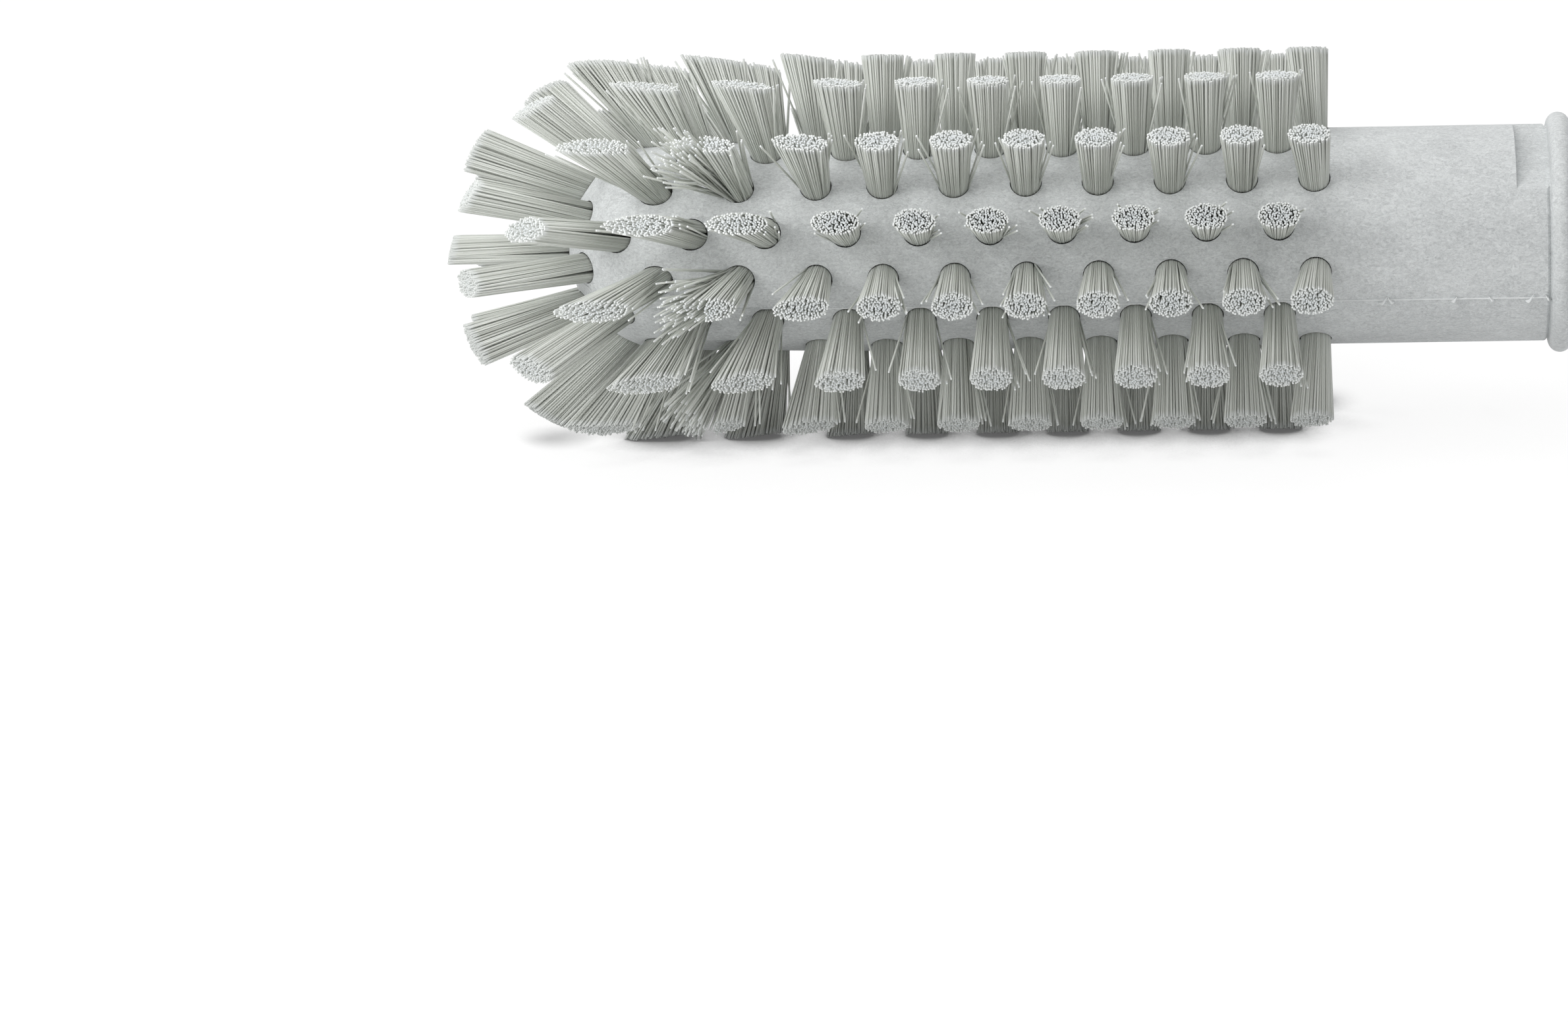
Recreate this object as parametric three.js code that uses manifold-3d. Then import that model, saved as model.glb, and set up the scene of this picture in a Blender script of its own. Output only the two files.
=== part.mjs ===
// Valve brush head: a moulded block with a threaded handle socket, and tufts of straight filaments
// set into round holes, each tuft held by a flat wire anchor.
// Millimetres. X runs along the brush with the socket mouth at +X, Z is up, the brush lies on its tufts.
import * as THREE from 'three';
import { mergeVertices } from 'three/addons/utils/BufferGeometryUtils.js';
import Module from 'manifold-3d';

const wasm = await Module();
wasm.setup();

// Overall sizes.
const overallLength = 145;
const brushDiameter = 50;
const noseBristleLength = 15.6;
const restFlatDepth = 0.5;
const pieceGap = 0.3;

// Block. The bead and the index flat follow each other from the socket mouth.
const blockDiameter = 27.8;
const noseDrop = 0.5;
const taperLength = 24;
const beadHeight = 1.5;
const beadWidth = 3;
const beadSetback = 0.4;
const indexFlatDepth = 1.9;
const indexFlatLength = 4.3;
const indexFlatTurn = 73.1;

// Handle socket with a rounded right-hand thread.
const socketDiameter = 21.5;
const socketDepth = 28;
const socketFloor = 2.6;
const socketChamfer = 1;
const threadPitch = 4;
const threadHeight = 1.2;
const threadStart = 2.5;

// Tufts: rows lie around the block, and rings lie along it, with every second row set half a pitch on.
// The first ring stands off the socket's floor, and the last one and the lean are set back from the nose.
// The rings up to the last stand at an even pitch, until each gap towards the nose is a size of its own.
const rowCount = 14;
const ringCount = 20;
const firstRingMargin = 2.6;
const lastRingSetback = 7.1;
const noseRingGaps = [4.7, 3.8, 6.5, 3.5, 6, 4.7, 5];
const leanStartSetback = 43.4;
const leanFullSetback = 7.4;
const leanFullAngle = 40;
const leanPower = 1.45;
const lastRingExtraLean = 7;
const crownNoseAngle = 35.6;
const crownAngleFromAxis = 20;
const trimNoseReach = 22;

// Holes, strands and anchors of one tuft.
const holeDiameter = 4.1;
const holeDepth = 6.5;
const axisHoleDepth = 8.4;
const strandRootDepth = 2.2;
const tuftFlareAlong = 0.04;
const tuftFlareAcross = 0.006;
const anchorHeight = 1.9;
const anchorThickness = 0.35;
const anchorRingInterval = 3;

// How finely round shapes are divided.
const blockSides = 28;
const noseSteps = 7;
const beadSteps = 5;
const coreSides = 14;
const holeSides = 6;
const threadSides = 16;

// Sizes that follow from those above.
// Distances along the brush are measured from the socket mouth.
const blockRadius = blockDiameter / 2;
const blockLength = overallLength - noseBristleLength;
const noseRadius = blockRadius - noseDrop;
const noseCentre = blockLength - noseRadius;
const indexFlatStart = beadSetback + beadWidth;
const brushRadius = brushDiameter / 2;
const axisHeight = brushRadius - restFlatDepth;
const trimNoseCentre = overallLength - trimNoseReach;
const coreRadius = blockRadius - holeDepth;
const coreRearDistance = socketDepth + socketFloor;
const coreFrontDistance = blockLength - axisHoleDepth;
const rowStep = (2 * Math.PI) / rowCount;
const rowsPerRing = rowCount / 2;
const ringsPerSlice = ringCount / 4;
const indexFlatAngle = THREE.MathUtils.degToRad(indexFlatTurn);
const crownRadius = noseRadius * Math.sin(THREE.MathUtils.degToRad(crownNoseAngle));
const firstRingDistance = coreRearDistance + firstRingMargin;
const noseRingsLength = noseRingGaps.reduce((length, gap) => length + gap);
const lastEvenRing = ringCount - 1 - noseRingGaps.length;
const lastEvenRingDistance = blockLength - lastRingSetback - noseRingsLength;
const ringPitch = (lastEvenRingDistance - firstRingDistance) / lastEvenRing;
const leanStartDistance = blockLength - leanStartSetback;
const leanFullDistance = blockLength - leanFullSetback;

// The strands of a tuft fill the hole's inner circle: one on one side of the anchor, a pair on the other.
const tuftRadius = (holeDiameter / 2) * Math.cos(Math.PI / holeSides) - pieceGap / 2;
const strandRadius = 0.375 * tuftRadius;
const singleStrandOffset = tuftRadius - strandRadius;
const pairStrandOffset = strandRadius;
const pairStrandSpread = 0.53 * tuftRadius;
const anchorLength = 2 * tuftRadius;

// The thread's outline over one turn: how far along the turn, and how far down from the top of the thread.
const threadSections = [[0, 0], [0.3, 0], [0.5, 1], [0.8, 1]];

const blockMaterial = new THREE.MeshStandardMaterial({ color: 0xc3c6c7, roughness: 0.6, metalness: 0 });
const bristleMaterial = new THREE.MeshStandardMaterial({ color: 0xb9bbb4, roughness: 0.5, metalness: 0 });
const anchorMaterial = new THREE.MeshStandardMaterial({ color: 0xb8babd, roughness: 0.3, metalness: 1 });

const brush = new THREE.Group();
brush.name = 'valve_brush';

// A place on the brush: distance from the socket mouth, radius from the axis, angle from -Y towards +Z.
function placeAt(distance, radius, angle) {
  const x = overallLength / 2 - distance;
  return new THREE.Vector3(x, -radius * Math.cos(angle), axisHeight + radius * Math.sin(angle));
}

// A direction at a row's angle, leaning from straight out towards the nose.
function directionAt(angle, lean) {
  const outward = Math.cos(lean);
  return new THREE.Vector3(-Math.sin(lean), -outward * Math.cos(angle), outward * Math.sin(angle));
}

// Turn a geometry into a solid that faces outwards.
function solidFrom(geometry) {
  const bare = geometry.clone();
  bare.deleteAttribute('normal');
  bare.deleteAttribute('uv');
  const merged = mergeVertices(bare, 1e-4);
  const positions = merged.attributes.position;
  const corners = Array.from(merged.index.array);
  const triangles = [];
  let volume = 0;
  for (let i = 0; i < corners.length; i += 3) {
    const [a, b, c] = corners.slice(i, i + 3);
    if (a === b || b === c || c === a) {
      continue;
    }
    const places = [a, b, c].map((corner) => new THREE.Vector3().fromBufferAttribute(positions, corner));
    volume += places[0].dot(places[1].cross(places[2]));
    triangles.push([a, b, c]);
  }
  const facing = volume < 0 ? triangles.map(([a, b, c]) => [a, c, b]) : triangles;
  return new wasm.Manifold(new wasm.Mesh({
    numProp: 3,
    vertProperties: new Float32Array(positions.array),
    triVerts: new Uint32Array(facing.flat()),
  }));
}

function unionOf(solids) {
  return solids.reduce((whole, solid) => whole.add(solid));
}

// Add a solid to the brush as a named mesh.
function addPiece(name, solid, material) {
  const result = solid.getMesh();
  const geometry = new THREE.BufferGeometry();
  geometry.setAttribute('position', new THREE.BufferAttribute(Float32Array.from(result.vertProperties), 3));
  geometry.setIndex(Array.from(result.triVerts));
  geometry.computeVertexNormals();
  const mesh = new THREE.Mesh(geometry, material);
  mesh.name = name;
  brush.add(mesh);
}

// A solid turned about the brush axis from points of radius and distance.
function turned(points, sides) {
  const outline = points.map(([radius, distance]) => new THREE.Vector2(radius, distance));
  const geometry = new THREE.LatheGeometry(outline, sides);
  geometry.rotateZ(Math.PI / 2);
  geometry.rotateX(Math.PI / 2);
  geometry.translate(overallLength / 2, 0, axisHeight);
  return solidFrom(geometry);
}

function rod(radius, from, to, sides) {
  return turned([[0, from], [radius, from], [radius, to], [0, to]], sides);
}

// Radius of the block's outside at a distance along it.
function blockRadiusAt(distance) {
  const past = distance - noseCentre;
  if (past > 0) {
    return Math.sqrt(Math.max(noseRadius ** 2 - past ** 2, 0));
  }
  const taper = THREE.MathUtils.clamp(1 + past / taperLength, 0, 1);
  return THREE.MathUtils.lerp(blockRadius, noseRadius, taper);
}

// Rings run from the neck to the nose. Even rings stand in one set of rows and odd rings in the other.
function ringDistance(ring) {
  const evenDistance = firstRingDistance + Math.min(ring, lastEvenRing) * ringPitch;
  const gapsPassed = noseRingGaps.slice(0, Math.max(0, ring - lastEvenRing));
  return gapsPassed.reduce((distance, gap) => distance + gap, evenDistance);
}

function ringLean(ring) {
  const along = (ringDistance(ring) - leanStartDistance) / (leanFullDistance - leanStartDistance);
  const lean = leanFullAngle * Math.max(0, along) ** leanPower;
  const extra = ring === ringCount - 1 ? lastRingExtraLean : 0;
  return THREE.MathUtils.degToRad(lean + extra);
}

// One tuft: where it leaves the block, which way it points and how far in it meets the core.
function tuftAt(name, distance, radius, angle, lean, depth, tilt) {
  const out = directionAt(angle, lean);
  const along = directionAt(angle, lean + Math.PI / 2);
  const across = new THREE.Vector3().crossVectors(out, along);
  return { name, mouth: placeAt(distance, radius, angle), out, along, across, depth, tilt };
}

function ringTufts(ring) {
  const distance = ringDistance(ring);
  const radius = blockRadiusAt(distance);
  const lean = ringLean(ring);
  const depth = (radius - coreRadius) / Math.cos(lean);
  const tufts = [];
  for (let i = 0; i < rowsPerRing; i += 1) {
    const row = 2 * i + (ring % 2);
    tufts.push(tuftAt(`ring${ring + 1}_row${row + 1}`, distance, radius, row * rowStep, lean, depth, lean));
  }
  return tufts;
}

// The crown is a ring of tufts round the nose, and one tuft stands on the axis itself.
function crownTufts() {
  const spread = THREE.MathUtils.degToRad(crownAngleFromAxis);
  const distance = noseCentre + Math.sqrt(noseRadius ** 2 - crownRadius ** 2);
  const depth = (distance - coreFrontDistance) / Math.cos(spread);
  const tufts = [];
  for (let i = 0; i < rowsPerRing; i += 1) {
    const row = 2 * i;
    const lean = Math.PI / 2 - spread;
    tufts.push(tuftAt(`crown_row${row + 1}`, distance, crownRadius, row * rowStep, lean, depth, spread));
  }
  return tufts;
}

function axisTuft() {
  return tuftAt('axis', blockLength, 0, 0, Math.PI / 2, blockLength - coreFrontDistance, 0);
}

// A point beside a tuft's own line, spreading as it travels out, more along the brush than across it.
function besideTuft(tuft, travel, along, across) {
  return tuft.mouth.clone()
    .addScaledVector(tuft.out, travel)
    .addScaledVector(tuft.along, along * (1 + tuftFlareAlong * travel))
    .addScaledVector(tuft.across, across * (1 + tuftFlareAcross * travel));
}

// Whether a point is inside the trimmed shape of the whole brush.
function insideTrim(point) {
  const radial = Math.hypot(point.y, point.z - axisHeight) / brushRadius;
  const past = Math.max(0, overallLength / 2 - point.x - trimNoseCentre) / trimNoseReach;
  return radial ** 2 + past ** 2 < 1 && point.z > 0;
}

// How far a line beside a tuft travels before the trim cuts it.
function trimTravel(tuft, along, across) {
  let inside = 0;
  let outside = brushRadius;
  for (let step = 0; step < 40; step += 1) {
    const middle = (inside + outside) / 2;
    if (insideTrim(besideTuft(tuft, middle, along, across))) {
      inside = middle;
    } else {
      outside = middle;
    }
  }
  return inside;
}

// A three-sided strand from inside the core to the trim.
function strandSolid(tuft, along, across, facing) {
  const root = [];
  const tip = [];
  for (let i = 0; i < 3; i += 1) {
    const turn = facing + (i * 2 * Math.PI) / 3;
    const cornerAlong = along + strandRadius * Math.cos(turn);
    const cornerAcross = across + strandRadius * Math.sin(turn);
    root.push(besideTuft(tuft, -tuft.depth - strandRootDepth, cornerAlong, cornerAcross));
    tip.push(besideTuft(tuft, trimTravel(tuft, cornerAlong, cornerAcross), cornerAlong, cornerAcross));
  }
  const geometry = new THREE.BufferGeometry().setFromPoints([...root, ...tip]);
  geometry.setIndex([0, 2, 1, 3, 4, 5, 0, 1, 4, 0, 4, 3, 1, 2, 5, 1, 5, 4, 2, 0, 3, 2, 3, 5]);
  return solidFrom(geometry);
}

// One strand stands on one side of the anchor and a pair on the other.
function tuftStrands(tuft) {
  const upward = Math.PI / 2;
  return [
    strandSolid(tuft, 0, singleStrandOffset, upward),
    strandSolid(tuft, -pairStrandSpread, -pairStrandOffset, -upward),
    strandSolid(tuft, pairStrandSpread, -pairStrandOffset, -upward),
  ];
}

// Bring a shape made along Z to a tuft, with its middle at a travel along the tuft.
function setAtTuft(geometry, tuft, travel, across) {
  const turn = new THREE.Matrix4().makeBasis(tuft.along, tuft.across, tuft.out);
  const centre = tuft.mouth.clone().addScaledVector(tuft.out, travel).addScaledVector(tuft.across, across);
  geometry.applyMatrix4(turn);
  geometry.translate(centre.x, centre.y, centre.z);
  return solidFrom(geometry);
}

// The hole of a tuft runs from clear of the block's outside to inside the cavity.
function holeCutter(tuft) {
  const inward = tuft.depth + pieceGap + (holeDiameter / 2) * Math.tan(tuft.tilt);
  const outward = holeDiameter;
  const radius = holeDiameter / 2;
  const geometry = new THREE.CylinderGeometry(radius, radius, inward + outward, holeSides);
  geometry.rotateY(Math.PI / holeSides);
  geometry.rotateX(Math.PI / 2);
  return setAtTuft(geometry, tuft, (outward - inward) / 2, 0);
}

// An anchor stands in its hole just clear of the core, between the strands.
function anchorSolid(tuft) {
  const clearance = pieceGap + (anchorLength / 2) * Math.tan(tuft.tilt);
  const travel = anchorHeight / 2 + clearance - tuft.depth;
  const betweenStrands = (singleStrandOffset - pairStrandOffset) / 2;
  const across = betweenStrands * (1 + tuftFlareAcross * travel);
  const geometry = new THREE.BoxGeometry(anchorLength, anchorThickness, anchorHeight);
  return setAtTuft(geometry, tuft, travel, across);
}

// A plug in the shape of the handle's thread, a turn longer than the thread at both ends.
// Each side of the plug holds one run of corners along the axis, and the runs climb round a right-hand helix.
function threadPlug() {
  const cornersPerTurn = threadSections.length;
  const turns = Math.ceil((socketDepth - threadStart) / threadPitch) + 2;
  const runLength = turns * cornersPerTurn;
  const points = [];
  const runs = [];
  for (let side = 0; side < threadSides; side += 1) {
    const run = [];
    const length = side === 0 ? runLength + cornersPerTurn : runLength;
    for (let i = 0; i <= length; i += 1) {
      const [fraction, drop] = threadSections[i % cornersPerTurn];
      const turn = Math.floor(i / cornersPerTurn) + fraction + side / threadSides - 1;
      const radius = socketDiameter / 2 - drop * threadHeight;
      run.push(points.length);
      points.push(placeAt(threadStart + threadPitch * turn, radius, (2 * Math.PI * side) / threadSides));
    }
    runs.push(run);
  }
  runs.push(runs[0].slice(cornersPerTurn));
  const faces = [];
  for (let side = 0; side < threadSides; side += 1) {
    for (let i = 0; i < runLength; i += 1) {
      const [a, b, c, d] = [runs[side][i], runs[side][i + 1], runs[side + 1][i + 1], runs[side + 1][i]];
      faces.push(a, b, c, a, c, d);
    }
  }
  const firstEnd = [...runs.map((run) => run[0]), ...runs[0].slice(0, cornersPerTurn).reverse()];
  const lastEnd = [...runs.map((run) => run[runLength]), ...runs[0].slice(runLength, -1).reverse()];
  const firstCentre = points.push(placeAt(threadStart - threadPitch / 2, 0, 0)) - 1;
  const lastCentre = points.push(placeAt(threadStart + threadPitch * (turns - 0.5), 0, 0)) - 1;
  for (let i = 0; i + 1 < firstEnd.length; i += 1) {
    faces.push(firstCentre, firstEnd[i], firstEnd[i + 1]);
    faces.push(lastCentre, lastEnd[i + 1], lastEnd[i]);
  }
  return solidFrom(new THREE.BufferGeometry().setFromPoints(points).setIndex(faces));
}

// The hollow that a handle screws into: a chamfered mouth and the thread below it.
function socketCutter() {
  const threadRadius = socketDiameter / 2;
  const mouth = turned([
    [0, -socketChamfer],
    [threadRadius + 2 * socketChamfer, -socketChamfer],
    [threadRadius, socketChamfer],
    [threadRadius, threadStart],
    [0, threadStart],
  ], blockSides);
  const threadLength = rod(blockRadius, threadStart - pieceGap, socketDepth, blockSides);
  return mouth.add(threadPlug().intersect(threadLength));
}

// Outside of the block from the socket mouth, over the bead and along the neck to the rounded nose.
function blockOutline() {
  const points = [[0, 0], [blockRadius, 0]];
  for (let i = 0; i <= beadSteps; i += 1) {
    const turn = (Math.PI * i) / beadSteps;
    const distance = beadSetback + (beadWidth / 2) * (1 - Math.cos(turn));
    points.push([blockRadius + beadHeight * Math.sin(turn), distance]);
  }
  points.push([blockRadius, noseCentre - taperLength]);
  for (let i = 0; i < noseSteps; i += 1) {
    const turn = ((Math.PI / 2) * i) / noseSteps;
    points.push([noseRadius * Math.cos(turn), noseCentre + noseRadius * Math.sin(turn)]);
  }
  points.push([0, blockLength]);
  return points;
}

function indexFlatCutter() {
  const size = blockDiameter;
  const geometry = new THREE.BoxGeometry(indexFlatLength, size, size);
  const radius = blockRadius - indexFlatDepth + size / 2;
  geometry.rotateX(Math.PI / 2 - indexFlatAngle);
  const centre = placeAt(indexFlatStart + indexFlatLength / 2, radius, indexFlatAngle);
  geometry.translate(centre.x, centre.y, centre.z);
  return solidFrom(geometry);
}

function blockSolid(tufts) {
  const cavityRear = coreRearDistance - pieceGap;
  const cavityFront = coreFrontDistance + pieceGap;
  const cavity = rod(coreRadius + pieceGap, cavityRear, cavityFront, coreSides);
  const holes = unionOf(tufts.map(holeCutter));
  return turned(blockOutline(), blockSides)
    .subtract(indexFlatCutter())
    .subtract(socketCutter())
    .subtract(cavity)
    .subtract(holes);
}

// Distance along the brush at which a ring's tufts meet the core.
function coreMeeting(ring) {
  return ringDistance(ring) - (blockRadiusAt(ringDistance(ring)) - coreRadius) * Math.tan(ringLean(ring));
}

// One length of core with the strands that stand on it.
function bristleSlice(firstRing, lastRing, tufts) {
  const startsBrush = firstRing === 0;
  const endsBrush = lastRing === ringCount - 1;
  const before = startsBrush ? 0 : (coreMeeting(firstRing - 1) + coreMeeting(firstRing) + pieceGap) / 2;
  const after = endsBrush ? 0 : (coreMeeting(lastRing) + coreMeeting(lastRing + 1) - pieceGap) / 2;
  const from = startsBrush ? coreRearDistance : before;
  const to = endsBrush ? coreFrontDistance : after;
  const strands = tufts.flatMap(tuftStrands);
  return unionOf([rod(coreRadius, from, to, coreSides), ...strands]);
}

const rings = Array.from({ length: ringCount }, (_, ring) => ringTufts(ring));
const noseTufts = [...crownTufts(), axisTuft()];
addPiece('brush_block', blockSolid([...rings.flat(), ...noseTufts]), blockMaterial);

const sliceNames = ['rear', 'middle', 'front', 'nose'];
sliceNames.forEach((sliceName, slice) => {
  const firstRing = slice * ringsPerSlice;
  const lastRing = firstRing + ringsPerSlice - 1;
  const tufts = rings.slice(firstRing, lastRing + 1).flat();
  if (lastRing === ringCount - 1) {
    tufts.push(...noseTufts);
  }
  addPiece(`bristles_${sliceName}`, bristleSlice(firstRing, lastRing, tufts), bristleMaterial);
});

// Anchors of every third ring and of the axis tuft are pieces of their own here.
const anchoredTufts = rings.filter((_, ring) => ring % anchorRingInterval === 1).flat();
anchoredTufts.push(axisTuft());
anchoredTufts.forEach((tuft) => {
  addPiece(`anchor_${tuft.name}`, anchorSolid(tuft), anchorMaterial);
});

export default brush;
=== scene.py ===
import math
from collections import namedtuple

import bmesh
import bpy
from mathutils import Matrix, Vector, noise


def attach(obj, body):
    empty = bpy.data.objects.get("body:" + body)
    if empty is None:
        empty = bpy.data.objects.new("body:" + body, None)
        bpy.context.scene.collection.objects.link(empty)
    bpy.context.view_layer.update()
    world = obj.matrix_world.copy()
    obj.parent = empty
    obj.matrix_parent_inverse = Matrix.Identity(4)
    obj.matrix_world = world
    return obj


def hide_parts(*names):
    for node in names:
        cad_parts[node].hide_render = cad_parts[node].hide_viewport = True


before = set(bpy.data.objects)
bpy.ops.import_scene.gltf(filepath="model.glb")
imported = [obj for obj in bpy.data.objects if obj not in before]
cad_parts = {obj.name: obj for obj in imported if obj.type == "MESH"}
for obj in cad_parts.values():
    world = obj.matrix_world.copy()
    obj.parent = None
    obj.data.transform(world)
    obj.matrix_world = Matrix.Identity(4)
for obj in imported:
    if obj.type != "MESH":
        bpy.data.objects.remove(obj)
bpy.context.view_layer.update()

# Sizes of the brush in metres, as in the part's source. Distances run from the socket mouth.
MM = 0.001
overall_length = 145 * MM
brush_radius = 25 * MM
rest_flat_depth = 0.5 * MM
nose_bristle_length = 15.6 * MM
axis_height = brush_radius - rest_flat_depth

# Stretches a place so that only what lies square to the brush's axis is left of it.
square_to_axis = (0.0, 1.0, 1.0)

# Block, with the bead, the groove at its foot and the index flat beside it.
block_radius = 13.9 * MM
nose_drop = 0.5 * MM
taper_length = 24 * MM
mouth_edge_round = 0.15 * MM
bead_height = 1.5 * MM
bead_width = 3 * MM
bead_setback = 0.4 * MM
bead_groove_depth = 0.3 * MM
bead_groove_width = 0.36 * MM
index_flat_depth = 1.9 * MM
index_flat_length = 4.3 * MM
block_sharp_angle = math.radians(24)
block_length = overall_length - nose_bristle_length
nose_radius = block_radius - nose_drop
nose_centre = block_length - nose_radius
index_flat_start = bead_setback + bead_width

# The mould's parting line runs along the block on two sides, with the index flat square to it.
parting_angle = math.radians(-16.9)
parting_height = 0.2 * MM
parting_half_width = 0.15 * MM
parting_waviness = 2.2 * MM
parting_unevenness = 0.45
index_flat_angle = parting_angle + math.pi / 2

# Curls of flash along the near parting line: distance from the mouth and length of each.
flash_curls = (
    (24.7 * MM, 1.1 * MM),
    (23.7 * MM, 0.9 * MM),
    (15.7 * MM, 0.8 * MM),
    (11 * MM, 0.7 * MM),
    (6.2 * MM, 1.1 * MM),
    (3.8 * MM, 0.8 * MM),
)
flash_half_thickness = 0.15 * MM
flash_end_share = 0.35
flash_rise = 0.65
flash_drift = 0.9
flash_white_from = 0.03 * MM
flash_white_at = 0.18 * MM

# Handle socket with a rounded right-hand thread.
socket_radius = 10.75 * MM
socket_depth = 28 * MM
socket_floor = 2.6 * MM
socket_chamfer = 1 * MM
thread_pitch = 4 * MM
thread_height = 1.2 * MM
thread_start = 2.5 * MM
thread_fade = 1.5 * MM
thread_steepness = 0.75

# Rows of tufts round the block, and rings along it. The rings stand evenly until the gaps near the nose.
row_count = 14
ring_count = 20
slice_names = ("rear", "middle", "front", "nose")
first_ring_margin = 2.6 * MM
last_ring_setback = 7.1 * MM
nose_ring_gaps = (4.7 * MM, 3.8 * MM, 6.5 * MM, 3.5 * MM, 6 * MM, 4.7 * MM, 5 * MM)
lean_start_setback = 43.4 * MM
lean_full_setback = 7.4 * MM
lean_full_angle = math.radians(40)
lean_power = 1.45
last_ring_extra_lean = math.radians(7)
first_ring_extra_lean = math.radians(3.5)
crown_nose_angle = math.radians(35.6)
crown_angle_from_axis = math.radians(20)
trim_radius = 24.7 * MM
trim_nose_reach = 22 * MM
trim_drop = 0.4 * MM
splayed_ring = 16
splayed_rows = (0, 2, 12)
row_step = 2 * math.pi / row_count
rings_per_slice = ring_count // len(slice_names)
first_ring_distance = socket_depth + socket_floor + first_ring_margin
last_even_ring = ring_count - 1 - len(nose_ring_gaps)
last_even_ring_distance = block_length - last_ring_setback - sum(nose_ring_gaps)
ring_pitch = (last_even_ring_distance - first_ring_distance) / last_even_ring
lean_start_distance = block_length - lean_start_setback
lean_full_distance = block_length - lean_full_setback
trim_nose_centre = overall_length - trim_nose_reach

# One tuft: its hole, and its filaments on circles one inside the other.
hole_radius = 2.05 * MM
hole_depth = 6.5 * MM
hole_sides = 24
# Painted shade inside a hole deepens from the first of these depths below the block's outside to the second.
hole_shade_from = 0.02 * MM
hole_shade_at = 0.12 * MM
filament_circles = 8
filaments_per_tuft = round(math.pi * (filament_circles + 0.5) ** 2)
filament_radius = 0.135 * MM
filament_sides = 5
filament_root_depth = 5.5 * MM
tuft_mouth_radius = 1.78 * MM

# The half widths of a tuft's tip, where it has travelled this far, and how its filaments are cut.
# The cut is longer on a tuft's lower side all round the brush, and on the nose side of a leaning tuft.
tuft_tip_travel = 11 * MM
tuft_tip_along = 2.6 * MM
tuft_tip_across = 1.58 * MM
leaning_tip_along = 3.45 * MM
leaning_tip_across = 1.35 * MM
full_fan_lean = math.radians(8)
leaning_cut_slope = 0.6 * MM
cut_slant = 0.34 * MM
uneven_ends = 0.6 * MM
mouth_wander = 0.015
tip_wander = 0.05
seed_step = 100

# Filaments that bend away from their tuft just inside the hole. Strays stand beyond a share of a tuft's
# half width, most of them on the side of the socket. In a splayed tuft most filaments on the side of the
# nose bend too. A lean is drawn from the least share of the full one upwards, twice over where a tuft
# splays, and a scatter is the share of its lean by which a filament also goes aside.
bend_depth = 1 * MM
least_lean_share = 0.2
stray_side = 0.4
stray_share = 0.07
noseward_strays = 0.3
stray_lean = 0.2
stray_scatter = 0.5
splay_side = 0.0
splay_share = 0.85
splay_lean = 0.55
splay_scatter = 1.2

# Flat wire anchors.
anchor_length = 3.25 * MM
anchor_height = 1.9 * MM
anchor_thickness = 0.35 * MM
anchor_clearance = 0.3 * MM
anchor_edge = anchor_thickness / 4

# Camera: where it stands, which way it looks, and its lens.
camera_place = Vector((27.77, -805.42, 308.75)) * MM
camera_azimuth = math.radians(-4.133)
camera_elevation = math.radians(21.7)
camera_roll = math.radians(-2.319)
camera_lens = 151.8
sensor_width = 36
camera_clip_start = 10 * MM

# Light: even light from all round, a large lamp overhead and a small one close to the nose.
even_light = 0.53
key_place = (-0.25, 0.4, 1.4)
key_size = 1.0
key_power = 8
nose_lamp_place = (-0.28, -0.2, 0.22)
nose_lamp_size = 0.25
nose_lamp_power = 0.72

# Floor: how pale it is to light that bounces and to the camera, and how much of its brightness is its own.
# Its brightness to the camera carries a painted shadow where the brush touches it and under the whole brush,
# each within a reach of its own, from where it is this open to the sky down to where it is this closed in,
# and some of its brightness always stays.
floor_half_width = 6.0
floor_paint = 0.85
floor_seen_paint = 0.14
floor_glow = 0.9
contact_reach = 4.5 * MM
contact_open = 0.96
contact_closed = 0.4
under_reach = 14 * MM
under_open = 0.5
under_closed = 0.14
shadow_brightness = 0.1
shadow_samples = 8

# Foamed plastic: colours as seen on screen, from 0 to 255, and how closely its marks follow each other,
# in waves to a metre along the brush and across it.
plastic_dark = (160, 163, 164)
plastic_pale = (228, 231, 231)
plastic_grain = (226, 229, 230)
flash_colour = (246, 248, 248)
# Painted shade for the inside of the tufts' holes.
hole_shade_colour = (58, 60, 59)
streak_stretch = (1150, 2000, 2000)
fibre_stretch = (3400, 5200, 5200)
cloud_stretch = (150, 190, 190)
grain_stretch = (5200, 7000, 7000)
plastic_gloss = 0.4
plastic_relief = 0.1 * MM
plastic_relief_strength = 0.5

# Satin filament: its greys, a painted highlight on its last stretch before the tip, and its whitish cut end,
# partly its own colour and partly painted highlight, with painted shade in the middle of a tuft and painted
# light at the rim. The painted highlight grows between these two shares of its length, and light goes a
# little way into it.
filament_dark = (184, 187, 180)
filament_pale = (221, 224, 218)
filament_tip_highlight = (214, 217, 214)
cut_end_middle_shade = (223, 228, 230)
cut_end_rim_highlight = (240, 243, 241)
tip_highlight_start = 0.95
tip_highlight_end = 0.98
sheen_stretch = (900, 900, 900)
filament_gloss = 0.4
light_entry = 0.2
light_entry_depth = 0.3 * MM

# Drawn steel of the anchors, with fine lines along the wire.
steel_dark = (176, 177, 180)
steel_pale = (208, 209, 211)
drawn_line_stretch = (300, 6000, 6000)

# A tuft leaves the block at its mouth, and its tilt is how steeply the block's surface crosses it there.
# Its fan and width are its tip's half widths along and across the brush, its slope is how much longer
# its nose side is cut, its splay is 1 where part of it stands apart, and it is loose where it has strays.
Tuft = namedtuple("Tuft", "mouth out along tilt fan width slope splay loose")


def place_at(distance, radius, angle):
    """A place by distance from the socket mouth, radius from the axis and angle from -Y towards +Z."""
    x = overall_length / 2 - distance
    return Vector((x, -radius * math.cos(angle), axis_height + radius * math.sin(angle)))


def direction_at(angle, lean):
    """A direction at a row's angle, leaning from straight out towards the nose."""
    outward = math.cos(lean)
    return Vector((-math.sin(lean), -outward * math.cos(angle), outward * math.sin(angle)))


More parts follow.
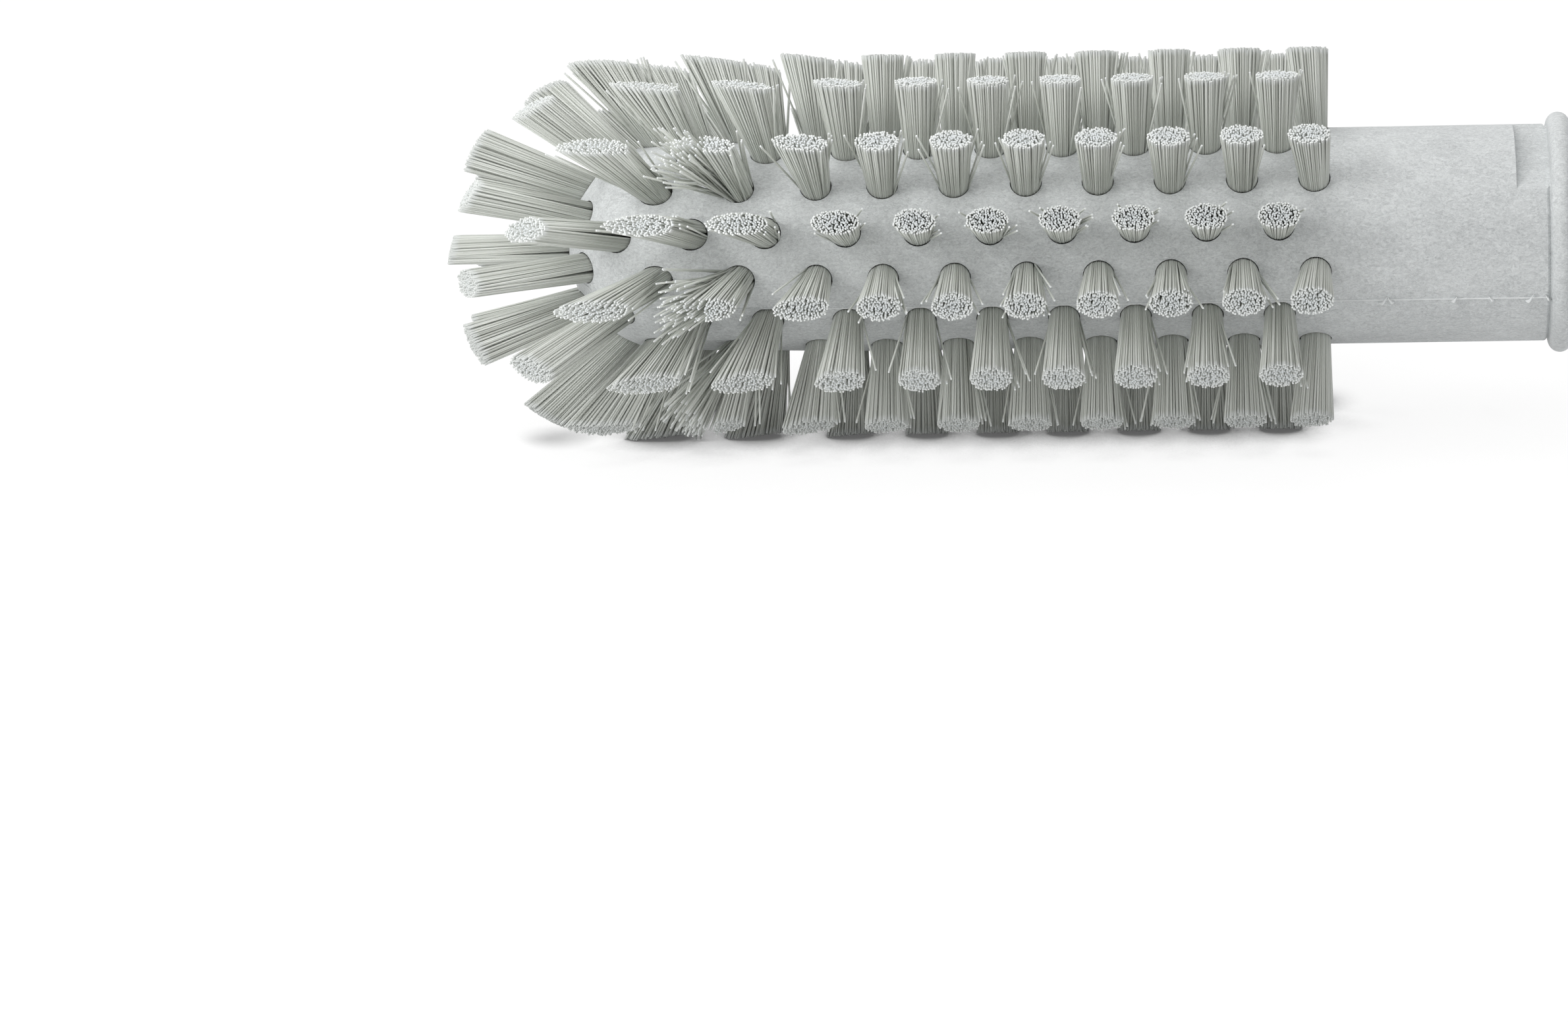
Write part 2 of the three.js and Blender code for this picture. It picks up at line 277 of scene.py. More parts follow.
def block_radius_at(distance):
    """Radius of the block's outside past the bead."""
    past = distance - nose_centre
    if past > 0:
        return math.sqrt(max(nose_radius ** 2 - past ** 2, 0))
    taper = min(max(1 + past / taper_length, 0), 1)
    return block_radius + (nose_radius - block_radius) * taper


# Where the tufts stand.
def ring_distance(ring):
    """How far a ring stands from the socket mouth."""
    even_distance = first_ring_distance + min(ring, last_even_ring) * ring_pitch
    return even_distance + sum(nose_ring_gaps[:max(0, ring - last_even_ring)])


def ring_lean(ring):
    """How far a ring's tufts lean to the nose, more and more towards it."""
    along = (ring_distance(ring) - lean_start_distance) / (lean_full_distance - lean_start_distance)
    return lean_full_angle * max(0, along) ** lean_power


def tuft_at(distance, radius, angle, lean, fan=tuft_tip_along, width=tuft_tip_across, **others):
    """A tuft at a place on the block, with its lean to the nose and its shape at the tip."""
    out = direction_at(angle, lean)
    along = direction_at(angle, lean + math.pi / 2)
    surface_lean = math.asin(min(max((distance - nose_centre) / nose_radius, 0), 1))
    tilt = math.tan(lean - surface_lean)
    values = {"slope": 0.0, "splay": 0.0, "loose": 0.0, **others}
    return Tuft(place_at(distance, radius, angle), out, along, tilt, fan, width, **values)


def ring_tufts(ring):
    """The tufts of one ring. The first and last rings are tidy, and other leaning tufts fan out wider."""
    distance = ring_distance(ring)
    radius = block_radius_at(distance)
    extra_lean = {0: first_ring_extra_lean, ring_count - 1: last_ring_extra_lean}
    lean = ring_lean(ring) + extra_lean.get(ring, 0)
    loose = 0.0 if ring in extra_lean else 1.0
    leaning = loose * min(ring_lean(ring) / full_fan_lean, 1)
    fan = tuft_tip_along + (leaning_tip_along - tuft_tip_along) * leaning
    width = tuft_tip_across + (leaning_tip_across - tuft_tip_across) * leaning
    slope = leaning_cut_slope * leaning
    tufts = []
    for i in range(row_count // 2):
        row = 2 * i + ring % 2
        splay = 1.0 if ring == splayed_ring and row in splayed_rows else 0.0
        angle = row * row_step
        tufts.append(tuft_at(
            distance, radius, angle, lean, fan, width, slope=slope, splay=splay, loose=loose,
        ))
    return tufts


def crown_tufts():
    """The ring of tufts round the nose, and the one on the axis."""
    radius = nose_radius * math.sin(crown_nose_angle)
    distance = nose_centre + nose_radius * math.cos(crown_nose_angle)
    lean = math.pi / 2 - crown_angle_from_axis
    tufts = [tuft_at(distance, radius, 2 * i * row_step, lean) for i in range(row_count // 2)]
    tufts.append(tuft_at(block_length, 0, 0, math.pi / 2))
    return tufts


def slice_tufts(slice_index):
    """The tufts of one of the four lengths of the brush."""
    first = slice_index * rings_per_slice
    tufts = []
    for ring in range(first, first + rings_per_slice):
        tufts.extend(ring_tufts(ring))
    if first + rings_per_slice == ring_count:
        tufts.extend(crown_tufts())
    return tufts


# Node helpers for geometry trees and materials.
def put(tree, socket, value):
    """Links a node's input to a worked-out value or a socket, or sets a plain value on it."""
    source = getattr(value, "socket", value)
    if isinstance(source, bpy.types.NodeSocket):
        tree.links.new(source, socket)
    else:
        socket.default_value = source


def add_node(tree, kind, inputs=None, **settings):
    """A new node with its settings, and with values or links on its inputs by name or number."""
    node = tree.nodes.new(kind)
    for name, value in settings.items():
        setattr(node, name, value)
    for name, value in (inputs or {}).items():
        put(tree, node.inputs[name], value)
    return node


class Number:
    """A number in a node tree. Arithmetic on it adds the nodes that work it out."""

    def __init__(self, tree, socket):
        self.tree = tree
        self.socket = socket

    def worked(self, operation, *values):
        node = add_node(self.tree, "ShaderNodeMath", operation=operation)
        for socket, value in zip(node.inputs, values):
            put(self.tree, socket, value)
        return Number(self.tree, node.outputs[0])

    def __add__(self, other):
        return self.worked("ADD", self, other)

    def __sub__(self, other):
        return self.worked("SUBTRACT", self, other)

    def __rsub__(self, other):
        return self.worked("SUBTRACT", other, self)

    def __mul__(self, other):
        return self.worked("MULTIPLY", self, other)

    def __truediv__(self, other):
        return self.worked("DIVIDE", self, other)

    def __neg__(self):
        return self * -1.0

    def __abs__(self):
        return self.worked("ABSOLUTE", self)

    def __lt__(self, other):
        return self.worked("LESS_THAN", self, other)

    def __gt__(self, other):
        return self.worked("GREATER_THAN", self, other)

    def at_least(self, other):
        return self.worked("MAXIMUM", self, other)

    def at_most(self, other):
        return self.worked("MINIMUM", self, other)

    def root(self):
        return self.worked("SQRT", self)

    def rounded(self):
        return self.worked("ROUND", self)

    def sign(self):
        return self.worked("SIGN", self)

    def sine(self):
        return self.worked("SINE", self)

    def cosine(self):
        return self.worked("COSINE", self)

    def spread_between(self, low, high):
        """Goes from 0 to 1 as this goes from low to high."""
        inputs = {"Value": self, "From Min": low, "From Max": high}
        return Number(self.tree, add_node(self.tree, "ShaderNodeMapRange", inputs).outputs[0])


class Arrow:
    """A vector in a node tree, worked with in the same way."""

    def __init__(self, tree, socket):
        self.tree = tree
        self.socket = socket

    def worked(self, operation, **inputs):
        node = add_node(self.tree, "ShaderNodeVectorMath", operation=operation)
        put(self.tree, node.inputs[0], self)
        if "other" in inputs:
            put(self.tree, node.inputs[1], inputs["other"])
        if "scale" in inputs:
            put(self.tree, node.inputs["Scale"], inputs["scale"])
        return node

    def changed(self, operation, **inputs):
        return Arrow(self.tree, self.worked(operation, **inputs).outputs["Vector"])

    def __add__(self, other):
        return self.changed("ADD", other=other)

    def __sub__(self, other):
        return self.changed("SUBTRACT", other=other)

    def __mul__(self, number):
        return self.changed("SCALE", scale=number)

    def stretched(self, other):
        return self.changed("MULTIPLY", other=other)

    def cross(self, other):
        return self.changed("CROSS_PRODUCT", other=other)

    def unit(self):
        return self.changed("NORMALIZE")

    def dot(self, other):
        return Number(self.tree, self.worked("DOT_PRODUCT", other=other).outputs["Value"])

    def part(self, axis):
        node = add_node(self.tree, "ShaderNodeSeparateXYZ", {0: self})
        return Number(self.tree, node.outputs[axis])


def as_value(tree, socket):
    """Wraps a socket so that it can be worked with."""
    kinds = {"VALUE": Number, "INT": Number, "VECTOR": Arrow}
    return kinds[socket.type](tree, socket) if socket.type in kinds else socket


def new_tree(name, sizes):
    """A geometry tree with a named input for each size. Returns it with its inputs by name."""
    kinds = {int: "Int", float: "Float", tuple: "Vector", Vector: "Vector", bpy.types.Object: "Object"}
    tree = bpy.data.node_groups.new(name, "GeometryNodeTree")
    tree.interface.new_socket("Geometry", in_out="INPUT", socket_type="NodeSocketGeometry")
    for label, size in sizes.items():
        tree.interface.new_socket(label, in_out="INPUT", socket_type="NodeSocket" + kinds[type(size)])
    tree.interface.new_socket("Geometry", in_out="OUTPUT", socket_type="NodeSocketGeometry")
    given = add_node(tree, "NodeGroupInput")
    return tree, {socket.name: as_value(tree, socket) for socket in given.outputs if socket.name}


def end_tree(tree, geometry, material):
    """Realizes what a tree made and gives it its material."""
    real = add_node(tree, "GeometryNodeRealizeInstances", {"Geometry": geometry})
    painted = add_node(tree, "GeometryNodeSetMaterial", {"Geometry": real.outputs[0], "Material": material})
    add_node(tree, "NodeGroupOutput", {"Geometry": painted.outputs[0]})


def run_tree(name, start, tree, sizes):
    """Runs a tree on a mesh with these sizes and returns the result as an object with a plain mesh."""
    piece = bpy.data.objects.new(name, start)
    bpy.context.scene.collection.objects.link(piece)
    modifier = piece.modifiers.new("Make", "NODES")
    modifier.node_group = tree
    for item in tree.interface.items_tree:
        if item.in_out == "INPUT" and item.name in sizes:
            modifier[item.identifier] = sizes[item.name]
    evaluated = piece.evaluated_get(bpy.context.evaluated_depsgraph_get())
    result = bpy.data.meshes.new_from_object(evaluated)
    piece.modifiers.remove(modifier)
    piece.data = result
    result.name = name
    return piece


def kept(tree, name, data_type="FLOAT"):
    """What the geometry holds under a name."""
    node = add_node(tree, "GeometryNodeInputNamedAttribute", {"Name": name}, data_type=data_type)
    return as_value(tree, node.outputs[0])


def keep(tree, geometry, name, value, domain="POINT"):
    """Keeps a value on the geometry under a name."""
    data_type = "FLOAT_VECTOR" if isinstance(value, Arrow) else "FLOAT"
    node = add_node(tree, "GeometryNodeStoreNamedAttribute", data_type=data_type, domain=domain)
    for label, content in {"Geometry": geometry, "Name": name, "Value": value}.items():
        put(tree, node.inputs[label], content)
    return node.outputs[0]


def aimed(tree, way, start=None, **settings):
    """A rotation that turns an axis to point a given way, from another rotation if one is given."""
    node = add_node(tree, "FunctionNodeAlignRotationToVector", {"Vector": way}, **settings)
    if start:
        put(tree, node.inputs["Rotation"], start)
    return node.outputs[0]


def random_number(tree, low, high, seed):
    """A number that is drawn anew for each point."""
    node = add_node(tree, "FunctionNodeRandomValue", {"Seed": seed}, data_type="FLOAT")
    put(tree, node.inputs[2], low)
    put(tree, node.inputs[3], high)
    return Number(tree, node.outputs[1])


def tuft_points(name, tufts):
    """A mesh of one point for each tuft, which holds the way that the tuft points and its other values."""
    mesh = bpy.data.meshes.new(name)
    mesh.from_pydata([tuft.mouth for tuft in tufts], [], [])
    for field in ("out", "along"):
        attribute = mesh.attributes.new(field, "FLOAT_VECTOR", "POINT")
        for item, tuft in zip(attribute.data, tufts):
            item.vector = getattr(tuft, field)
    for field in ("tilt", "fan", "width", "slope", "splay", "loose"):
        attribute = mesh.attributes.new(field, "FLOAT", "POINT")
        for item, tuft in zip(attribute.data, tufts):
            item.value = getattr(tuft, field)
    return mesh


# Materials.
def tone_group():
    """A drifting tone for any finish: noise on the object's own coordinates, stretched as wanted."""
    fine_share = 0.6
    usual_low = 0.3
    usual_high = 0.7
    group = bpy.data.node_groups.new("Tone drift", "ShaderNodeTree")
    labels = {"Stretch": "Vector", "Detail": "Float", "Swirl": "Float", "Low": "Float", "High": "Float"}
    for label, kind in labels.items():
        group.interface.new_socket(label, in_out="INPUT", socket_type="NodeSocket" + kind)
    group.interface.new_socket("Tone", in_out="OUTPUT", socket_type="NodeSocketFloat")
    given = add_node(group, "NodeGroupInput")
    place = Arrow(group, add_node(group, "ShaderNodeTexCoord").outputs["Object"])
    cloud = add_node(group, "ShaderNodeTexNoise", {
        "Vector": place.stretched(given.outputs["Stretch"]),
        "Scale": 1.0,
        "Detail": given.outputs["Detail"],
        "Roughness": fine_share,
        "Distortion": given.outputs["Swirl"],
    })
    spread = add_node(group, "ShaderNodeMapRange", {
        "Value": cloud.outputs["Fac"],
        "From Min": usual_low,
        "From Max": usual_high,
        "To Min": given.outputs["Low"],
        "To Max": given.outputs["High"],
    })
    add_node(group, "NodeGroupOutput", {"Tone": spread.outputs[0]})
    return group


def tone(tree, stretch, detail, high, low=0.0, swirl=0.0):
    """A tone that drifts between low and high."""
    node = add_node(tree, "ShaderNodeGroup", node_tree=tone_drift)
    values = {"Stretch": stretch, "Detail": detail, "Swirl": swirl, "Low": low, "High": high}
    for name, value in values.items():
        put(tree, node.inputs[name], value)
    return Number(tree, node.outputs["Tone"])


def new_material(name):
    """A node material and its shader."""
    material = bpy.data.materials.new(name)
    material.use_nodes = True
    return material, material.node_tree, material.node_tree.nodes["Principled BSDF"]


def mix_colours(tree, share, first, second):
    """The first colour, and the second as far as the share says."""
    node = add_node(tree, "ShaderNodeMix", data_type="RGBA")
    put(tree, node.inputs[0], share)
    put(tree, node.inputs[6], first)
    put(tree, node.inputs[7], second)
    return node.outputs[2]


def colour(red, green, blue):
    """A colour as seen on screen, from 0 to 255, turned by the screen's curve into what a shader wants."""
    def linear(value):
        share = value / 255
        return share / 12.92 if share <= 0.04045 else ((share + 0.055) / 1.055) ** 2.4

    return (linear(red), linear(green), linear(blue), 1.0)


def grey(share):
    """A grey by its share of the light."""
    return (share, share, share, 1.0)


def flash_share(tree):
    """1 on the parting line's ridge and its flash, where they stand out of the neck, and 0 elsewhere."""
    place = Arrow(tree, add_node(tree, "ShaderNodeTexCoord").outputs["Object"])
    from_axis = (place - (0.0, 0.0, axis_height)).stretched(square_to_axis)
    radius = from_axis.dot(from_axis).root()
    raised = radius.spread_between(block_radius + flash_white_from, block_radius + flash_white_at)
    past_bead = place.part("X") < overall_length / 2 - index_flat_start - bead_groove_width
    return raised * past_bead


def hole_shade_share(tree):
    """Where painted shade goes: 1 inside the tufts' holes, a little below the block's outside, and 0
    elsewhere.
    """
    place = Arrow(tree, add_node(tree, "ShaderNodeTexCoord").outputs["Object"])
    from_nose = place - place_at(nose_centre, 0, 0)
    past = -from_nose.part("X")
    into_nose = past.at_least(0.0)
    sideways = from_nose.stretched(square_to_axis)
    radius = (sideways.dot(sideways) + into_nose * into_nose).root()
    outside = block_radius - past.spread_between(-taper_length, 0.0) * nose_drop
    sunk = (outside - radius).spread_between(hole_shade_from, hole_shade_at)
    return sunk * (past > first_ring_distance - 2 * hole_radius - nose_centre)


def block_finish():
    """Foamed plastic: pale grey with short silvery fibres, whiter on the parting line, with painted shade in
    the holes.
    """
    material, tree, shader = new_material("foamed plastic")
    streaks = tone(tree, streak_stretch, detail=4.0, high=0.62, swirl=1.6)
    fibres = tone(tree, fibre_stretch, detail=3.0, high=0.46, swirl=1.2)
    clouds = tone(tree, cloud_stretch, detail=2.0, high=0.2)
    grain = tone(tree, grain_stretch, detail=2.0, high=0.3)
    roughness = tone(tree, streak_stretch, detail=3.0, low=0.46, high=0.62)
    marks = streaks + fibres
    base = mix_colours(tree, marks + clouds, colour(*plastic_dark), colour(*plastic_pale))
    grained = mix_colours(tree, grain, base, colour(*plastic_grain))
    whitened = mix_colours(tree, flash_share(tree), grained, colour(*flash_colour))
    # Painted shade inside the tufts' holes.
    hole_shaded = mix_colours(tree, hole_shade_share(tree), whitened, colour(*hole_shade_colour))
    put(tree, shader.inputs["Base Color"], hole_shaded)
    put(tree, shader.inputs["Roughness"], roughness)
    put(tree, shader.inputs["Specular IOR Level"], plastic_gloss)
    bump = add_node(tree, "ShaderNodeBump", {
        "Height": marks,
        "Strength": plastic_relief_strength,
        "Distance": plastic_relief,
    })
    put(tree, shader.inputs["Normal"], bump.outputs[0])
    return material


def bristle_finish():
    """Satin filament, each a different grey, with a painted highlight near its tip and a whitish cut end,
    partly its own colour and partly painted highlight, brightest at a tuft's rim where painted light falls.
    """
    material, tree, shader = new_material("satin filament")

    def attribute(name):
        return Number(tree, add_node(tree, "ShaderNodeAttribute", attribute_name=name).outputs["Fac"])

    body = mix_colours(tree, attribute("shade"), colour(*filament_dark), colour(*filament_pale))
    # Painted highlight on the last stretch before the tip.
    tip_highlight_share = attribute("tipward").spread_between(tip_highlight_start, tip_highlight_end)
    whitened = mix_colours(tree, tip_highlight_share, body, colour(*filament_tip_highlight))
    # The cut end is partly its own whitish colour and partly painted light: brightest at a tuft's rim, with
    # painted shade in its middle.
    rim = attribute("rim")
    cut = mix_colours(tree, rim * rim, colour(*cut_end_middle_shade), colour(*cut_end_rim_highlight))
    ended = mix_colours(tree, attribute("cut_end"), whitened, cut)
    roughness = tone(tree, sheen_stretch, detail=2.0, low=0.34, high=0.5)
    put(tree, shader.inputs["Base Color"], ended)
    put(tree, shader.inputs["Roughness"], roughness)
    put(tree, shader.inputs["Specular IOR Level"], filament_gloss)
    put(tree, shader.inputs["Subsurface Weight"], light_entry)
    put(tree, shader.inputs["Subsurface Radius"], (1.0, 1.0, 1.0))
    put(tree, shader.inputs["Subsurface Scale"], light_entry_depth)
    return material


def anchor_finish():
    """Flat steel wire with fine drawing lines."""
    material, tree, shader = new_material("drawn steel")
    lines = tone(tree, drawn_line_stretch, detail=3.0, high=1.0)
    steel = mix_colours(tree, lines, colour(*steel_dark), colour(*steel_pale))
    roughness = tone(tree, drawn_line_stretch, detail=2.0, low=0.24, high=0.4)
    put(tree, shader.inputs["Base Color"], steel)
    put(tree, shader.inputs["Roughness"], roughness)
    put(tree, shader.inputs["Metallic"], 1.0)
    return material


# The block.
def finished_mesh(maker, name):
    """Turns what a mesh maker holds into a mesh that faces outwards."""
    bmesh.ops.recalc_face_normals(maker, faces=maker.faces)
    mesh = bpy.data.meshes.new(name)
    maker.to_mesh(mesh)
    maker.free()
    return mesh


def mesh_from_rows(name, rows, first_pole, last_pole):
    """A closed mesh from rings of points, closed at both ends on a single point."""
    merge_distance = 1e-7
    maker = bmesh.new()
    rings = [[maker.verts.new(point) for point in row] for row in rows]
    first = maker.verts.new(first_pole)
    last = maker.verts.new(last_pole)
    count = len(rings[0])
    for i in range(count):
        j = (i + 1) % count
        maker.faces.new((first, rings[0][j], rings[0][i]))
        maker.faces.new((last, rings[-1][i], rings[-1][j]))
        for here, there in zip(rings, rings[1:]):
            maker.faces.new((here[i], here[j], there[j], there[i]))
    bmesh.ops.remove_doubles(maker, verts=maker.verts, dist=merge_distance)
    return finished_mesh(maker, name)


def block_outline():
    """Distance and radius of the block's outside from the mouth over the bead and neck to the nose."""
    bead_steps = 20
    groove_steps = 6
    neck_step = 0.5 * MM
    nose_steps = 40
    points = [(0, block_radius - mouth_edge_round), (mouth_edge_round, block_radius)]
    for i in range(bead_steps + 1):
        turn = math.pi * i / bead_steps
        distance = bead_setback + bead_width / 2 * (1 - math.cos(turn))
        points.append((distance, block_radius + bead_height * math.sin(turn)))
    for i in range(1, groove_steps):
        share = i / groove_steps
        depth = bead_groove_depth * math.sin(math.pi * share)
        points.append((index_flat_start + bead_groove_width * share, block_radius - depth))
    distance = index_flat_start + neck_step
    while distance < nose_centre - neck_step / 2:
        points.append((distance, block_radius_at(distance)))
        distance += neck_step if distance < first_ring_distance else 2 * neck_step
    for i in range(nose_steps):
        turn = math.pi / 2 * i / nose_steps
        points.append((nose_centre + nose_radius * math.sin(turn), nose_radius * math.cos(turn)))
    return points


def block_angles():
    """Angles round the block, closer together at the two parting lines, and each only once."""
    sides = 140
    digits = 6
    angles = {round(2 * math.pi * i / sides, digits) for i in range(sides)}
    for side in (parting_angle, parting_angle + math.pi):
        for step in (-2, -1, 0, 1, 2):
            angle = (side + step * parting_half_width / block_radius / 2) % (2 * math.pi)
            angles.add(round(angle, digits))
    return sorted(angles)


def parting_ridge(distance, angle):
    """Height of the parting line's ridge, uneven along the block and not alike on its two sides."""
    sides_apart = 4
    across = min(
        abs(math.remainder(angle - parting_angle, 2 * math.pi)),
        abs(math.remainder(angle - parting_angle - math.pi, 2 * math.pi)),
    )
    share = max(0, 1 - across * block_radius / parting_half_width)
    wander = noise.noise(Vector((distance / parting_waviness, sides_apart * math.cos(angle), 0)))
    return parting_height * share * (1 + parting_unevenness * wander)


def block_body():
    """The block's outside with its bead, groove and parting lines, still without holes."""
    angles = block_angles()
    rows = []
    for distance, radius in block_outline():
        ridged = [radius + parting_ridge(distance, angle) for angle in angles]
        rows.append([place_at(distance, size, angle) for size, angle in zip(ridged, angles)])
    return mesh_from_rows("block_body", rows, place_at(0, 0, 0), place_at(block_length, 0, 0))


def add_flash_curl(maker, distance, length, side):
    """One curl of flash: an arched sliver, thinner at its ends, that drifts aside from the parting line."""
    steps = 8
    rings = []
    for i in range(steps + 1):
        share = i / steps
        arch = math.sin(math.pi * share)
        half = flash_half_thickness * (flash_end_share + (1 - flash_end_share) * arch)
        radius = block_radius + flash_rise * length * arch
        drift = side * flash_drift * length * (share - 0.5)
        ring = []
        for across, up in ((-half, -half), (half, -half), (half, half), (-half, half)):
            angle = parting_angle + (drift + across) / block_radius
            ring.append(maker.verts.new(place_at(distance + length * (share - 0.5), radius + up, angle)))
        rings.append(ring)
    for here, there in zip(rings, rings[1:]):
        for j in range(4):
            k = (j + 1) % 4
            maker.faces.new((here[j], here[k], there[k], there[j]))
    maker.faces.new(rings[0])
    maker.faces.new(rings[-1])


def flash_mesh():
    """All the curls of flash, which drift to the one side and the other in turn."""
    maker = bmesh.new()
    for number, (distance, length) in enumerate(flash_curls):
        add_flash_curl(maker, distance, length, 1 if number % 2 else -1)
    return finished_mesh(maker, "flash")


def socket_plug():
    """The hollow that a handle screws into: a chamfered mouth and a rounded right-hand thread."""
    sides = 72
    rows_per_pitch = 16
    thread_length = socket_depth - thread_start
    steps = math.ceil(rows_per_pitch * thread_length / thread_pitch)
    angles = [2 * math.pi * i / sides for i in range(sides)]

    def level(distance, radius):
        return [place_at(distance, radius, angle) for angle in angles]

    rows = [level(-socket_chamfer, socket_radius + 2 * socket_chamfer), level(socket_chamfer, socket_radius)]
    for step in range(steps + 1):
        travel = thread_length * step / steps
        height = thread_height * min(travel / thread_fade, (thread_length - travel) / thread_fade, 1)
        row = []
        for angle in angles:
            wave = math.cos(2 * math.pi * travel / thread_pitch - angle)
            crest = min(max(0.5 - thread_steepness * wave, 0), 1)
            row.append(place_at(thread_start + travel, socket_radius - height * crest, angle))
        rows.append(row)
    return mesh_from_rows("socket_plug", rows, place_at(-socket_chamfer, 0, 0), place_at(socket_depth, 0, 0))


def index_flat_block():
    """The box that cuts the index flat beside the bead."""
    maker = bmesh.new()
    bmesh.ops.create_cube(maker, size=1)
    size = 2 * block_radius
    scale = Matrix.Diagonal((index_flat_length, size, size, 1))
    turn = Matrix.Rotation(math.pi / 2 - index_flat_angle, 4, "X")
    radius = block_radius - index_flat_depth + size / 2
    middle = place_at(index_flat_start + index_flat_length / 2, radius, index_flat_angle)
    bmesh.ops.transform(maker, matrix=Matrix.Translation(middle) @ turn @ scale, verts=maker.verts)
    return finished_mesh(maker, "index_flat_block")


def drilling_tree(material, sizes):
    """Adds the flash to the block's body, then cuts out the socket, the index flat and each tuft's hole."""
    tree, given = new_tree("Drilled block", sizes)

    def shape_of(name):
        return add_node(tree, "GeometryNodeObjectInfo", {"Object": given[name]}).outputs["Geometry"]

    clear = given["Hole Radius"] * 2.0
    bit = add_node(tree, "GeometryNodeMeshCylinder", {
        "Vertices": given["Hole Sides"],
        "Radius": given["Hole Radius"],
        "Depth": given["Hole Depth"] + clear,
    })
    lift = add_node(tree, "ShaderNodeCombineXYZ", {"Z": (clear - given["Hole Depth"]) * 0.5})
    raised = add_node(tree, "GeometryNodeTransform", {
        "Geometry": bit.outputs["Mesh"],
        "Translation": lift.outputs[0],
    })
    bits = add_node(tree, "GeometryNodeInstanceOnPoints", {
        "Points": shape_of("Tufts"),
        "Instance": raised.outputs[0],
        "Rotation": aimed(tree, kept(tree, "out", "FLOAT_VECTOR"), axis="Z"),
    })
    whole = add_node(tree, "GeometryNodeMeshBoolean", operation="UNION", solver="MANIFOLD")
    for part in (given["Geometry"], shape_of("Flash")):
        tree.links.new(part, whole.inputs["Mesh 2"])
    cut = add_node(tree, "GeometryNodeMeshBoolean", operation="DIFFERENCE", solver="MANIFOLD")
    put(tree, cut.inputs["Mesh 1"], whole.outputs["Mesh"])
    for tool in (bits.outputs[0], shape_of("Socket"), shape_of("Index Flat")):
        tree.links.new(tool, cut.inputs["Mesh 2"])
    end_tree(tree, cut.outputs["Mesh"], material)
    return tree


# The tufts.
def trim_travel(start, way, squash, radius):
    """How far a line runs inside a ball, or inside a bar where the squash takes out the length."""
    flat_start = start.stretched(squash)
    flat_way = way.stretched(squash)
    along = flat_way.dot(flat_way)
    towards = flat_start.dot(flat_way)
    outside = flat_start.dot(flat_start) - radius * radius
    return ((towards * towards - along * outside).at_least(0.0).root() - towards) / along


def unit_filament(tree, sides):
    """A thin bar of unit size, which knows how far along it a point is and which face is its cut end."""
    bar = add_node(tree, "GeometryNodeMeshCylinder", {"Vertices": sides, "Radius": 1.0, "Depth": 1.0})
    stood = add_node(tree, "GeometryNodeTransform", {
        "Geometry": bar.outputs["Mesh"],
        "Translation": (0.0, 0.0, 0.5),
    })
    height = Arrow(tree, add_node(tree, "GeometryNodeInputPosition").outputs[0]).part("Z")
    facing = Arrow(tree, add_node(tree, "GeometryNodeInputNormal").outputs[0]).part("Z")
    graded = keep(tree, stood.outputs[0], "tipward", height)
    marked = keep(tree, graded, "cut_end", facing > 0.5, "FACE")
    smooth = add_node(tree, "GeometryNodeSetShadeSmooth", {
        "Geometry": marked,
        "Shade Smooth": abs(facing) < 0.5,
    })
    return smooth.outputs[0]


